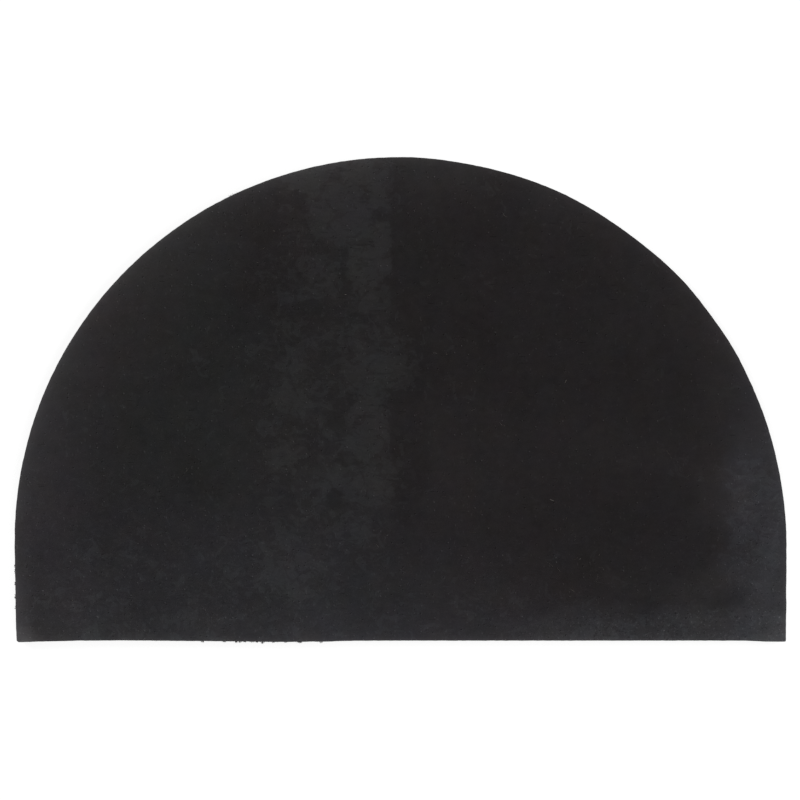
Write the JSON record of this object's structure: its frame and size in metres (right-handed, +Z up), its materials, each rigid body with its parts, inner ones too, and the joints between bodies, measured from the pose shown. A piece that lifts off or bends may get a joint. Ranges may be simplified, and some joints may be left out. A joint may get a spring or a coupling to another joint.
{
  "type": "coir doormat",
  "caption": "Flat half-round doormat of black coir pile on a black vinyl backing, lying pile down with the backing up.",
  "frame": {"origin": "middle of the mat's bounding box, on the surface that the pile's tips lie on", "axes": "+X along the straight edge, +Y from the straight edge to the crown of the arch, +Z up through the pile and out of the backing"},
  "size_m": [0.8006, 0.5032, 0.015],
  "materials": {
    "vinyl": "black soft vinyl cast against the pile, matte with faint cloudy and slightly glossier patches, fine pits and flecks",
    "coir": "black-dyed coconut fibre, short stiff upright bristles with a few brown and grey ones"
  },
  "bodies": {
    "root": {"backing": "vinyl", "coir_pile": "coir"}
  },
  "joints": []
}
